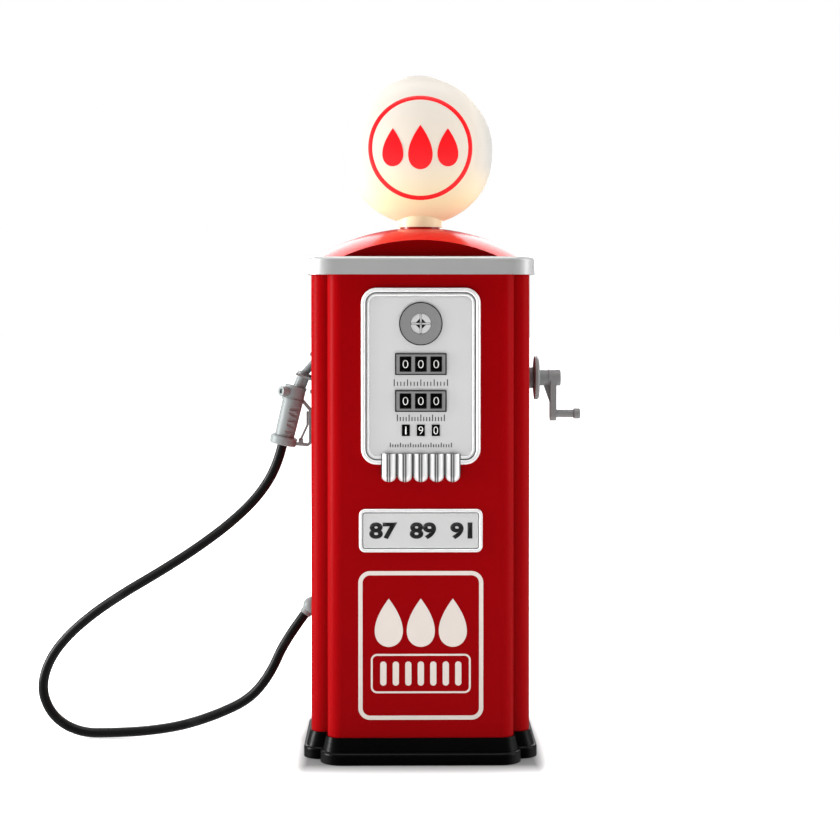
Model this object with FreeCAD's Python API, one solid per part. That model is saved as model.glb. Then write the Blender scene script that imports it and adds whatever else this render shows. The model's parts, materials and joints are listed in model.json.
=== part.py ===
import FreeCAD, Part
import math
import os

os.makedirs("parts", exist_ok=True)
V = FreeCAD.Vector

# ---- driving dimensions, millimetres; X right, Y back, Z up, origin under the cabinet axis ----
sheet = 1.2                 # cabinet sheet steel
body_half_width = 142.5     # side walls
shoulder_width = 22.5       # each side of the bays
bay_half_width = body_half_width - shoulder_width   # front and rear bays
bay_depth = 110.0           # bay faces, from the axis
notch_depth = 78.0          # shoulders beside the bays
corner_radius = 18.0
plinth_height = 33.0
body_top = 627.0

flange_height = 15.0        # plinth foot
flange_grow_x = 9.6
flange_bay_radius = 28.0    # the foot's corners under the bays
flange_grow_y = 10.0
riser_grow = 1.6            # how far the plinth's top stands outside the body
plinth_wall = 3.0
bottom_plate_thickness = 2.0
screw_radius = 3.5

band_overhang_x = 5.5
band_overhang_y = 9.0
band_width = 2 * (body_half_width + band_overhang_x)
band_depth = 2 * (bay_depth + band_overhang_y)
band_height = 23.0
band_radius = 36.0
band_wall = 3.0

roof_radius = 265.0         # spherical roof
roof_rise = 40.0
roof_setback = 21.0
roof_flat = band_depth / 2 - roof_setback   # flats at front and rear
roof_wall = 1.5

globe_radius = 99.5
globe_half_depth = 60.0
globe_wall = 2.5
globe_rim = 45.0            # radius of the rounded rim
globe_neck_radius = 30.5
globe_neck_wall = 6.0
neck_ring_radius = 27.5
neck_ring_height = 2.0
globe_seat = 4.0            # lowest point of the globe above the roof's top
holder_radius = 11.0
bulb_radius = 24.0

bezel_half_width = 76.35
bezel_bottom = 384.0
bezel_top = 610.0
bezel_radius = 20.0
bezel_base = 3.0
bezel_rim = 3.0
face_half_width = 65.0
face_bottom = 398.0
face_top = 598.0
face_radius = 9.0
rib_pitch = 20.4
rib_count = 5
rib_bottom = 361.0
rib_backing = 4.0
dial_height = 564.0
dial_ring_radius = 27.7
dial_disc_radius = 13.5
window_half_width = 32.9
window_height = 27.8
window_bottoms = (498.6, 451.5)
tile_size = (13.2, 17.9)
tile_pitch = 19.6
small_tile_size = (10.2, 14.5)
small_tile_pitch = 19.1
small_tile_bottom = 420.6

plate_half_width = 79.0
plate_bottom = 271.6
plate_top = 327.0
plate_radius = 8.0
plate_margin = 6.5
plate_thickness = 3.0

shelf_heights = (215.0, 400.0)
shelf_lip = 12.0

hinge_offset = 5.0          # hinge axis outside the door pan and behind the shoulder
knuckle_radius = 4.0
hinge_pin_radius = 1.5
knuckle_length = 14.0
hinge_heights = (120.0, 540.0)
leaf_thickness = 1.6
door_gap = 1.0
knob_place = (96.0, 330.0)
catch_height = 290.0

crank_height = 489.5
boss_radius = 14.0
boss_length = 9.0
sleeve_radius = 7.0
shaft_radius = 4.0
running_clearance = 0.05
disc_radius = 29.0
arm_radius = 10.7
arm_end_radius = 9.6
arm_throw = 48.0
arm_reach = 31.8            # the arm's inner face, out from the wall
arm_start = body_half_width + arm_reach
arm_thickness = 8.0
cap_length = 6.0
grip_radius = 5.2
grip_length = 23.0
grip_pin_radius = 2.0
pin_head_radius = 7.0
pin_head_length = 8.7
side_gap = 0.3

collar_reach = 40.3         # collar's centre, out from the wall
collar_centre = (-body_half_width - collar_reach, 406.0)
nozzle_tilt = 13.3
collar_radius = 17.8
collar_thickness = 11.5
grip_low_radius = 13.1
grip_high_radius = 13.9
notch_start = 14.5          # slanted grip grooves, front and back
notch_pitch = 7.6
notch_count = 5
notch_radius = 3.0
notch_depth_out = 1.4       # groove's axis outside the grip
notch_turn = 28.0           # towards the trigger
notch_slant = 1.6
cap_radius = 6.8
cap_reach = 8.5
valve_start = 54.0
valve_end = 74.0
valve_radius = 14.0
valve_top_lip = 0.6
neck_tilt = 21.0
neck_shift = 4.2            # neck's foot, off the grip's axis
neck_radius = 8.3
neck_length = 18.0
lip_radius = 9.6
lip_thickness = 2.5
spout_tilt = 40.0
spout_base_radius = 5.4
spout_tip_radius = 4.4
spout_length = 27.6
guard_thickness = 3.8
guard_half_width = 5.0
guard_gap = 2.2             # clear of the wall
lever_thickness = 2.8
lever_half_width = 3.5
lever_reach = 23.0
lever_pivot = (collar_centre[0] + lever_reach, collar_centre[1] + 0.5)
lever_barrel = 2.6
trigger_pin_radius = 1.2

fork_thickness = 3.0
fork_half_width = 16.0
fork_reach = 10.0
fork_clearance = 1.0
port_height = 508.5
port_radius = 14.0
port_depth = 14.5
port_wall = 1.5
holder_half_width = 20.0
holder_low = 466.0
holder_high = 528.0
holder_plate = 2.0

outlet_centre = (-body_half_width - 3.1, 184.2)
outlet_radius = 11.3
outlet_nipple = 14.0
outlet_nipple_radius = 8.0
outlet_stem_radius = 6.0

hose_radius = 6.6
hose_route = [
    (-184.2, 0, 400.2), (-191.1, 0, 371.0), (-216, 1, 331), (-252, 2, 296), (-300, 5, 260),
    (-350, 8, 228), (-401, 11, 198), (-446, 14, 167), (-482, 17, 134), (-504, 19, 101),
    (-512, 21, 64), (-496, 23, 28), (-461, 25, 6.8), (-415, 25, 6.7), (-365, 21, 10.3),
    (-318, 16, 19), (-270, 10, 36), (-227, 5, 58), (-200, 2, 93), (-181, 0, 137), (-154, 0, 173),
]


# ---- helpers: outlines with rounded corners in a plane, extruded ----
def lift(plane, u, v, w):
    if plane == "xy":
        return V(u, v, w)
    if plane == "xz":
        return V(u, w, v)
    return V(w, u, v)


def outline(corners, plane="xy", w=0.0):
    """corners: (u, v, radius) in order round the outline."""
    edges = []
    points = [lift(plane, u, v, w) for u, v, r in corners]
    count = len(corners)
    ends = []
    for i in range(count):
        here, before, after = points[i], points[i - 1], points[(i + 1) % count]
        a = (before - here).normalize()
        b = (after - here).normalize()
        radius = corners[i][2]
        if radius <= 0:
            ends.append((here, here, None))
            continue
        half = a.getAngle(b) / 2
        reach = radius / math.tan(half)
        middle = here + (a + b).normalize() * (radius / math.sin(half) - radius)
        ends.append((here + a * reach, here + b * reach, middle))
    for i in range(count):
        start, end, middle = ends[i]
        if middle is not None:
            edges.append(Part.Arc(start, middle, end).toShape())
        following = ends[(i + 1) % count][0]
        if (following - end).Length > 1e-6:
            edges.append(Part.LineSegment(end, following).toShape())
    return Part.Wire(edges)


def prism(corners, low, high, plane="xy"):
    face = Part.Face(outline(corners, plane, low))
    return face.extrude(lift(plane, 0, 0, high - low))


def rectangle(half_u, low_v, high_v, radius=0.0, centre_u=0.0):
    return [(centre_u - half_u, low_v, radius), (centre_u + half_u, low_v, radius),
            (centre_u + half_u, high_v, radius), (centre_u - half_u, high_v, radius)]


def bent_sheet(path, thickness, low, high, plane):
    """A folded strip: path is its middle line as (u, v, bend radius)."""
    half = thickness / 2

    def side(sign):
        result = []
        for i, (u, v, r) in enumerate(path):
            normals = []
            if i > 0:
                d = V(u - path[i - 1][0], v - path[i - 1][1], 0).normalize()
                normals.append(V(-d.y, d.x, 0))
            if i < len(path) - 1:
                d = V(path[i + 1][0] - u, path[i + 1][1] - v, 0).normalize()
                normals.append(V(-d.y, d.x, 0))
            if len(normals) == 1:
                move, turn = normals[0], 0.0
            else:
                total = normals[0] + normals[1]
                move = total * (2.0 / total.dot(total))
                turn = normals[0].cross(normals[1]).z
            radius = 0.0
            if r > 0 and abs(turn) > 1e-9:
                radius = max(r - math.copysign(half, turn) * sign, 0.0)
            result.append((u + move.x * half * sign, v + move.y * half * sign, radius))
        return result

    return prism(side(1) + side(-1)[::-1], low, high, plane)


def rod(start, end, radius):
    start, end = V(*start), V(*end)
    return Part.makeCylinder(radius, (end - start).Length, start, end - start)


def cone(start, end, start_radius, end_radius):
    start, end = V(*start), V(*end)
    return Part.makeCone(start_radius, end_radius, (end - start).Length, start, end - start)


def box(low, high):
    size = [b - a for a, b in zip(low, high)]
    return Part.makeBox(size[0], size[1], size[2], V(*low))


def turned(profile, base, axis):
    """profile: (radius, height) points, closed along the axis; revolved about the axis at base."""
    points = [V(r, 0, h) for r, h in profile]
    face = Part.Face(Part.makePolygon(points + [points[0]]))
    solid = face.revolve(V(0, 0, 0), V(0, 0, 1), 360)
    solid.Placement = FreeCAD.Placement(V(*base), FreeCAD.Rotation(V(0, 0, 1), V(*axis)))
    return solid


def sphere(centre, radius):
    return Part.makeSphere(radius, V(*centre))


def save(name, *solids):
    solids = [piece for shape in solids for piece in shape.Solids]
    shape = solids[0] if len(solids) == 1 else Part.makeCompound(solids)
    if not shape.isValid():
        raise ValueError(name + " is not a valid solid")
    shape.exportStep("parts/" + name + ".step")


def cabinet_plan(grow_x=0.0, grow_y=0.0, radius=corner_radius, bay_radius=corner_radius):
    """The notched plan: side walls, shoulders and the two bays."""
    side, shoulder = body_half_width + grow_x, notch_depth + grow_x
    bay, face = bay_half_width + grow_x, bay_depth + grow_y
    quarter = [(side, -shoulder, radius), (bay, -shoulder, 0), (bay, -face, bay_radius)]
    front = [(-u, v, r) for u, v, r in quarter] + quarter[::-1]
    return front + [(-u, -v, r) for u, v, r in front]


# ---- base ----
def base():
    foot = prism(cabinet_plan(flange_grow_x, flange_grow_y, corner_radius + 4, flange_bay_radius),
                 0, flange_height)
    rim = foot.makeFillet(4.0, [e for e in foot.Edges
                                if e.BoundBox.ZMin > flange_height - 0.01])
    low = outline(cabinet_plan(flange_grow_x - 3, flange_grow_y - 5, corner_radius,
                               flange_bay_radius - 4), "xy", flange_height - 1)
    high = outline(cabinet_plan(riser_grow, riser_grow), "xy", plinth_height)
    riser = Part.makeLoft([low, high], True, True)
    hollow = prism(cabinet_plan(riser_grow - plinth_wall, riser_grow - plinth_wall),
                   bottom_plate_thickness - 5, plinth_height - plinth_wall)
    inside = cabinet_plan(flange_grow_x - plinth_wall - 1, flange_grow_y - plinth_wall - 1,
                          corner_radius, flange_bay_radius - 4)
    seat = prism(inside, -5, bottom_plate_thickness)
    save("base_plinth", rim.fuse(riser).cut(hollow).cut(seat))
    plate = prism(inside, 0, bottom_plate_thickness)
    screws = []
    for x in (-bay_half_width - 8, bay_half_width + 8):
        for y in (-60, 60):
            plate = plate.cut(rod((x, y, -1), (x, y, bottom_plate_thickness + 1), screw_radius))
            head = rod((x, y, 0.2), (x, y, bottom_plate_thickness), screw_radius)
            stem = rod((x, y, bottom_plate_thickness), (x, y, plinth_height), screw_radius / 2)
            post = rod((x, y, bottom_plate_thickness), (x, y, plinth_height - plinth_wall), 6)
            screws.append((head.fuse(stem), post.cut(stem), x, y))
    save("bottom_plate", plate)
    save("screw_posts", *[post for head, post, x, y in screws])
    save("base_screws", *[head.cut(box((x - 9, y - 9, plinth_height - plinth_wall),
                                       (x + 9, y + 9, plinth_height + 9)))
                          for head, post, x, y in screws])


# ---- cabinet ----
def cabinet():
    half = sheet / 2
    lip = 14.0
    face = bay_depth - half
    bay = bay_half_width - half
    front = bent_sheet([(-bay, -notch_depth, 0), (-bay, -face, corner_radius - half),
                        (bay, -face, corner_radius - half), (bay, -notch_depth, 0)],
                       sheet, plinth_height, body_top, "xy")
    save("front_panel", front)

    inner = bay_half_width - 1.5 * sheet
    side = body_half_width - half
    shoulder = notch_depth - half
    opening = bay_half_width - 12
    for name, sign in (("left_side_panel", -1), ("right_side_panel", 1)):
        path = [(inner, -notch_depth - lip, 0), (inner, -shoulder, 0),
                (side, -shoulder, corner_radius - half), (side, shoulder, corner_radius - half),
                (opening, shoulder, 0)]
        panel = bent_sheet([(sign * u, v, r) for u, v, r in path],
                           sheet, plinth_height, body_top, "xy")
        near, far = sign * (side - 9), sign * (side + 11)
        if sign < 0:
            panel = panel.cut(rod((far, 0, port_height), (near, 0, port_height),
                                  port_radius + port_wall))
            panel = panel.cut(rod((far, 0, outlet_centre[1]), (near, 0, outlet_centre[1]),
                                  outlet_stem_radius))
        else:
            panel = panel.cut(rod((near, 0, crank_height), (far, 0, crank_height), sleeve_radius))
        save(name, panel)

    edge = body_half_width - sheet
    deck = [(-edge, -shoulder + half, corner_radius - sheet),
            (edge, -shoulder + half, corner_radius - sheet),
            (edge, shoulder - half, corner_radius - sheet),
            (-edge, shoulder - half, corner_radius - sheet)]
    bay_deck = rectangle(inner - half, -bay_depth + sheet, -shoulder + half)
    bay_deck = [(u, v, corner_radius - 2 * sheet if v < -bay_depth + 2 * sheet else 0)
                for u, v, r in bay_deck]
    for name, low in (("cabinet_floor", plinth_height), ("top_plate", body_top - sheet)):
        plate = prism(deck, low, low + sheet).fuse(prism(bay_deck, low, low + sheet))
        save(name, plate.removeSplitter())
    for name, height in zip(("lower_shelf", "upper_shelf"), shelf_heights):
        top = height - half
        flat = side - half
        shelf = bent_sheet([(-flat + half, height - shelf_lip, 0), (-flat + half, top, 0),
                            (flat - half, top, 0), (flat - half, height - shelf_lip, 0)],
                           sheet, -notch_depth + corner_radius + 2, notch_depth - corner_radius - 2,
                           "xz")
        save(name, shelf)


def top():
    low, high = body_top, body_top + band_height
    band = prism(rectangle(band_width / 2, -band_depth / 2, band_depth / 2, band_radius), low, high)
    band = band.makeFillet(5.0, [e for e in band.Edges if e.BoundBox.ZMin > high - 0.01])
    hollow = prism(rectangle(band_width / 2 - band_wall, -band_depth / 2 + band_wall,
                             band_depth / 2 - band_wall, band_radius - band_wall),
                   low + 1.5, high - band_wall)
    seat = prism(cabinet_plan(-6, -6, corner_radius - 6), low - 1, low + 2)
    save("top_band", band.cut(hollow).cut(seat))

    apex = high + roof_rise
    centre = apex - roof_radius
    dome = sphere((0, 0, centre), roof_radius).common(
        box((-band_width / 2, -roof_flat, high), (band_width / 2, roof_flat, apex + 1)))
    inside = sphere((0, 0, centre), roof_radius - roof_wall).common(
        box((-band_width, -roof_flat + roof_wall, high - 1),
            (band_width, roof_flat - roof_wall, apex + 1)))
    save("roof_cap", dome.cut(inside))

    whole = sphere((0, 0, centre), roof_radius)
    neck_low = apex + 0.5
    ring = rod((0, 0, neck_low - 6), (0, 0, neck_low), neck_ring_radius)
    ring = ring.cut(rod((0, 0, neck_low - 9), (0, 0, apex + 9), holder_radius + side_gap))
    save("neck_ring", ring.cut(whole))
    save("lamp_holder", rod((0, 0, apex - 5), (0, 0, apex + 18), holder_radius).cut(whole))
    lamp = turned([(0, 0), (9, 0), (9, 8), (bulb_radius * 0.8, 24), (bulb_radius, 40),
                   (bulb_radius * 0.85, 56), (bulb_radius * 0.5, 66), (0, 70)],
                  (0, 0, apex + 18), (0, 0, 1))
    save("lamp_bulb", lamp)

    middle = apex + globe_seat + globe_radius

    depth, rim = globe_half_depth, globe_radius
    face_radius = ((rim - globe_rim) ** 2 + depth ** 2 - globe_rim ** 2) / (2 * (depth - globe_rim))
    rim_centre = (rim - globe_rim, 0)
    face_centre = (0, face_radius - depth)
    lean = math.atan2(rim_centre[0], face_centre[1])

    def half_profile(inset):
        """Rim arc and face arc of one half, tangent to each other, from the rim to the pole."""
        def at(centre, radius, angle):
            return V(centre[0] + radius * math.sin(angle), centre[1] - radius * math.cos(angle), 0)
        small, large = globe_rim - inset, face_radius - inset
        rim_arc = [at(rim_centre, small, a) for a in
                   (math.pi / 2, (math.pi / 2 + lean) / 2, lean)]
        face_arc = [at(face_centre, large, a) for a in (lean, lean / 2, 0)]
        return [Part.Arc(*rim_arc).toShape(), Part.Arc(*face_arc).toShape()], rim_arc[0], face_arc[2]

    outer, outer_rim, outer_pole = half_profile(0)
    inner, inner_rim, inner_pole = half_profile(globe_wall)
    section = outer + inner + [Part.LineSegment(outer_rim, inner_rim).toShape(),
                               Part.LineSegment(outer_pole, inner_pole).toShape()]
    front_face = Part.Face(Part.Wire(Part.__sortEdges__(section)))
    neck_height = 14.0
    reach = globe_radius + 20
    keep = box((-reach, -reach, neck_low), (reach, 0, middle + globe_radius + 20))
    bore_radius = globe_neck_radius - globe_neck_wall
    for name, turn in (("globe_front", 0), ("globe_rear", 180)):
        half = front_face.revolve(V(0, 0, 0), V(0, 1, 0), 360)
        half.translate(V(0, 0, middle))
        neck = Part.makeCylinder(globe_neck_radius, neck_height, V(0, 0, neck_low))
        solid_lens = Part.Face(Part.Wire(Part.__sortEdges__(
            outer + [Part.LineSegment(outer_rim, V(0, 0, 0)).toShape(),
                     Part.LineSegment(V(0, 0, 0), outer_pole).toShape()])))
        solid_lens = solid_lens.revolve(V(0, 0, 0), V(0, 1, 0), 360)
        solid_lens.translate(V(0, 0, middle))
        neck = neck.common(keep).cut(solid_lens)
        half = half.common(keep).fuse(neck)
        half = half.cut(Part.makeCylinder(bore_radius, neck_height, V(0, 0, neck_low - 1)))
        half.rotate(V(0, 0, 0), V(0, 0, 1), turn)
        save(name, half)


# ---- front trim ----
def trim():
    front = -bay_depth
    base_face = front - bezel_base
    plate = prism(rectangle(bezel_half_width, bezel_bottom, bezel_top, bezel_radius),
                  base_face, front, "xz")
    for inset, width, height in ((0, 4.0, bezel_rim), (7.5, 2.5, bezel_rim - 1)):
        outer = prism(rectangle(bezel_half_width - inset, bezel_bottom + inset,
                                bezel_top - inset, bezel_radius - inset * 0.6),
                      base_face - height, base_face, "xz")
        inner = prism(rectangle(bezel_half_width - inset - width, bezel_bottom + inset + width,
                                bezel_top - inset - width, bezel_radius - inset * 0.6 - width),
                      base_face - height, base_face, "xz")
        plate = plate.fuse(outer.cut(inner))
    rib_radius = rib_pitch / 2
    for i in range(rib_count):
        x = (i - (rib_count - 1) / 2) * rib_pitch
        rib = rod((x, front + 2, rib_bottom + rib_radius), (x, front + 2, face_bottom),
                  rib_radius)
        rib = rib.fuse(sphere((x, front + 2, rib_bottom + rib_radius), rib_radius))
        plate = plate.fuse(rib)
    skirt = rib_count * rib_pitch / 2
    plate = plate.fuse(box((-skirt, front - rib_backing, rib_bottom + rib_radius),
                           (skirt, front, face_bottom)))
    plate = plate.cut(box((-90, front, 340), (90, front + 30, 640)))
    pocket = prism(rectangle(face_half_width, face_bottom, face_top, face_radius),
                   base_face - 9, base_face + 1.0, "xz")
    save("dial_bezel", plate.cut(pocket))
    face_front = base_face
    save("dial_face", prism(rectangle(face_half_width, face_bottom, face_top, face_radius),
                            face_front, base_face + 1.0, "xz"))

    ring = rod((0, face_front, dial_height), (0, face_front - 1.6, dial_height), dial_ring_radius)
    ring = ring.cut(rod((0, face_front, dial_height), (0, face_front - 3, dial_height),
                        dial_disc_radius))
    save("dial_ring", ring)
    save("dial_disc", rod((0, face_front, dial_height), (0, face_front - 0.8, dial_height),
                          dial_disc_radius))

    frames, tiles = [], []
    for low in window_bottoms:
        frame = prism(rectangle(window_half_width, low, low + window_height, 1.5),
                      face_front - 2.0, face_front, "xz")
        for i in (-1, 0, 1):
            x = i * tile_pitch
            tile_low = low + (window_height - tile_size[1]) / 2
            hole = rectangle(tile_size[0] / 2, tile_low, tile_low + tile_size[1], 0, x)
            frame = frame.cut(prism(hole, face_front - 3, face_front - 0.2, "xz"))
            tiles.append(prism(hole, face_front - 0.9, face_front - 0.2, "xz"))
        frames.append(frame)
    for i in (-1, 0, 1):
        x = i * small_tile_pitch
        hole = rectangle(small_tile_size[0] / 2, small_tile_bottom,
                         small_tile_bottom + small_tile_size[1], 0, x)
        tiles.append(prism(hole, face_front - 0.9, face_front, "xz"))
    save("counter_frames", *frames)
    save("digit_tiles", *tiles)

    back = front - plate_thickness
    badge = prism(rectangle(plate_half_width, plate_bottom, plate_top, plate_radius),
                  back, front, "xz")
    badge = badge.cut(prism(rectangle(plate_half_width - plate_margin, plate_bottom + plate_margin,
                                      plate_top - plate_margin, plate_radius - 3),
                            back, back + 1.0, "xz"))
    save("grade_plate", badge)


# ---- rear door, on two pinned hinges ----
def door():
    half = sheet / 2
    low, high = plinth_height + door_gap, body_top - door_gap
    edge = notch_depth + door_gap
    face = bay_depth - half
    bay = bay_half_width - half
    pan = bent_sheet([(-bay, edge, 0), (-bay, face, corner_radius - half),
                      (bay, face, corner_radius - half), (bay, edge, 0)], sheet, low, high, "xy")
    inside = rectangle(bay - half, edge + 12, face, 0)
    inside = [(u, v, corner_radius - sheet if v > face - 1 else 0) for u, v, r in inside]
    for at in (low, high - sheet):
        pan = pan.fuse(prism(inside, at, at + sheet))
    knob_x, knob_z = knob_place
    pan = pan.cut(rod((knob_x, bay_depth - 9, knob_z), (knob_x, bay_depth + 9, knob_z), 3))
    save("rear_door", pan.removeSplitter())
    knob = turned([(0, -sheet - 3), (6, -sheet - 3), (6, -sheet), (3, -sheet), (3, 0), (6, 0),
                   (5, 7), (10, 12), (11, 16), (8, 20), (0, 21)], (knob_x, bay_depth, knob_z),
                  (0, 1, 0))
    save("door_knob", knob)

    axis_x, axis_y = -bay_half_width - hinge_offset, notch_depth + hinge_offset
    fixed, moving, pins = [], [], []
    for height in hinge_heights:
        def knuckle(at, bore):
            tube = rod((axis_x, axis_y, at), (axis_x, axis_y, at + knuckle_length), knuckle_radius)
            return tube, rod((axis_x, axis_y, at - 1), (axis_x, axis_y, at + knuckle_length + 1),
                             bore)
        top_end = height + 3 * knuckle_length + 2 * side_gap
        leaf = box((axis_x - 13, notch_depth, height), (axis_x + 1, notch_depth + leaf_thickness,
                                                        top_end))
        middle = height + knuckle_length + side_gap
        gap = box((axis_x - 6, notch_depth, middle - side_gap),
                  (axis_x + 9, notch_depth + 9, middle + knuckle_length + side_gap))
        bores = []
        for at in (height, middle + knuckle_length + side_gap):
            tube, bore = knuckle(at, hinge_pin_radius)
            leaf = leaf.fuse(tube)
            bores.append(bore)
        leaf = leaf.cut(gap)
        for bore in bores:
            leaf = leaf.cut(bore)
        fixed.append(leaf)
        tube, bore = knuckle(middle, hinge_pin_radius + running_clearance)
        blade = box((-bay_half_width - leaf_thickness, notch_depth + door_gap + 1, middle),
                    (-bay_half_width, notch_depth + 14, middle + knuckle_length))
        moving.append(tube.fuse(blade).cut(bore))
        pins.append(rod((axis_x, axis_y, height), (axis_x, axis_y, top_end), hinge_pin_radius))
    save("hinge_fixed_leaves", *fixed)
    save("hinge_door_leaves", *moving)
    save("hinge_pins", *pins)

    inner_face = notch_depth - sheet
    catch_x = bay_half_width - 18
    save("door_catch", box((catch_x - 6, inner_face - 14, catch_height - 14),
                           (catch_x + 12, inner_face, catch_height + 14)))
    strike_y = inner_face + side_gap
    plate = box((catch_x - 5, strike_y, catch_height - 12), (catch_x + 5, strike_y + 1.5, catch_height + 12))
    web = box((catch_x - 5, strike_y, catch_height - 1.5), (catch_x - 3, bay_depth - sheet, catch_height + 1.5))
    save("strike_plate", plate.fuse(web))


# ---- crank on the right wall, turning about X ----
def crank():
    wall, z = body_half_width, crank_height
    inner = wall - sheet
    boss_end = wall + boss_length
    sleeve_end = wall - 12.5
    bearing = rod((wall, 0, z), (boss_end, 0, z), boss_radius)
    bearing = bearing.makeFillet(1.5, [e for e in bearing.Edges
                                       if e.BoundBox.XMin > boss_end - 0.01])
    bearing = bearing.fuse(rod((sleeve_end, 0, z), (wall, 0, z), sleeve_radius))
    save("crank_bearing", bearing.cut(rod((sleeve_end - 1, 0, z), (boss_end + 1, 0, z),
                                          shaft_radius + running_clearance)))
    nut = Part.makePolygon([V(inner, 12 * math.cos(math.radians(a)),
                              z + 12 * math.sin(math.radians(a))) for a in range(0, 420, 60)])
    nut = Part.Face(nut).extrude(V(-5, 0, 0))
    save("bearing_nut", nut.cut(rod((inner - 6, 0, z), (inner + 1, 0, z), sleeve_radius)))

    shaft_end = sleeve_end - 4
    save("crank_shaft", rod((shaft_end, 0, z), (arm_start + arm_thickness, 0, z), shaft_radius))
    clip = rod((sleeve_end - 2.5, 0, z), (sleeve_end - 0.5, 0, z), shaft_radius + 3)
    save("shaft_clip", clip.cut(rod((shaft_end, 0, z), (wall, 0, z), shaft_radius)))

    start = boss_end + side_gap
    hub_end = arm_start - start
    hub = turned([(0, 0), (disc_radius - 11, 0), (disc_radius, 1.5), (disc_radius, 5),
                  (disc_radius - 1.5, 7), (14, 8.2), (10.5, 8.6), (10.5, hub_end - 2.6),
                  (11.3, hub_end - 2), (11.3, hub_end - 0.6), (10.5, hub_end), (0, hub_end)],
                 (start, 0, z), (1, 0, 0))
    save("crank_hub", hub.cut(rod((start - 1, 0, z), (arm_start + 9, 0, z), shaft_radius)))

    arm_end = arm_start + arm_thickness
    pin_z = z - arm_throw
    arm = rod((arm_start, 0, z), (arm_end, 0, z), arm_radius)
    arm = arm.fuse(rod((arm_start, 0, pin_z), (arm_end, 0, pin_z), arm_end_radius))
    arm = arm.fuse(prism([(-arm_radius, z, 0), (-arm_end_radius, pin_z, 0),
                          (arm_end_radius, pin_z, 0), (arm_radius, z, 0)], arm_start, arm_end,
                         "yz"))
    gusset = prism([(arm_start, z - 9, 0), (arm_start, z - 34, 0), (arm_start - 8, z - 11.5, 0),
                    (arm_start - 8, z - 9, 0)], -2.5, 2.5, "xz")
    arm = arm.fuse(gusset.cut(hub))
    arm = arm.cut(rod((arm_start - 1, 0, z), (arm_end + 1, 0, z), shaft_radius))
    save("crank_arm", arm.cut(rod((arm_start - 1, 0, pin_z), (arm_end + 1, 0, pin_z),
                                  grip_pin_radius)))
    cap = rod((arm_end, 0, z), (arm_end + cap_length, 0, z), arm_radius)
    save("crank_cap", cap.makeFillet(1.2, [e for e in cap.Edges
                                           if e.BoundBox.XMin > arm_end + cap_length - 0.1]))
    grip_start = arm_end + side_gap
    grip_end = grip_start + grip_length
    head_start = grip_end + side_gap
    pin = rod((arm_start, 0, pin_z), (head_start, 0, pin_z), grip_pin_radius)
    head = rod((head_start, 0, pin_z), (head_start + pin_head_length, 0, pin_z), pin_head_radius)
    save("crank_pin", pin.fuse(head.makeFillet(1.2, head.Edges[:1] + head.Edges[2:])))
    grip = rod((grip_start, 0, pin_z), (grip_end, 0, pin_z), grip_radius)
    save("crank_grip", grip.cut(rod((grip_start - 1, 0, pin_z), (grip_end + 1, 0, pin_z),
                                    grip_pin_radius + running_clearance)))


# ---- nozzle ----
def along(origin, tilt, distance, side=0.0):
    """A point up an axis that leans towards +X by tilt degrees, in the plane y = 0."""
    s, c = math.sin(math.radians(tilt)), math.cos(math.radians(tilt))
    return (origin[0] + s * distance + c * side, 0, origin[1] + c * distance - s * side)


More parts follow.
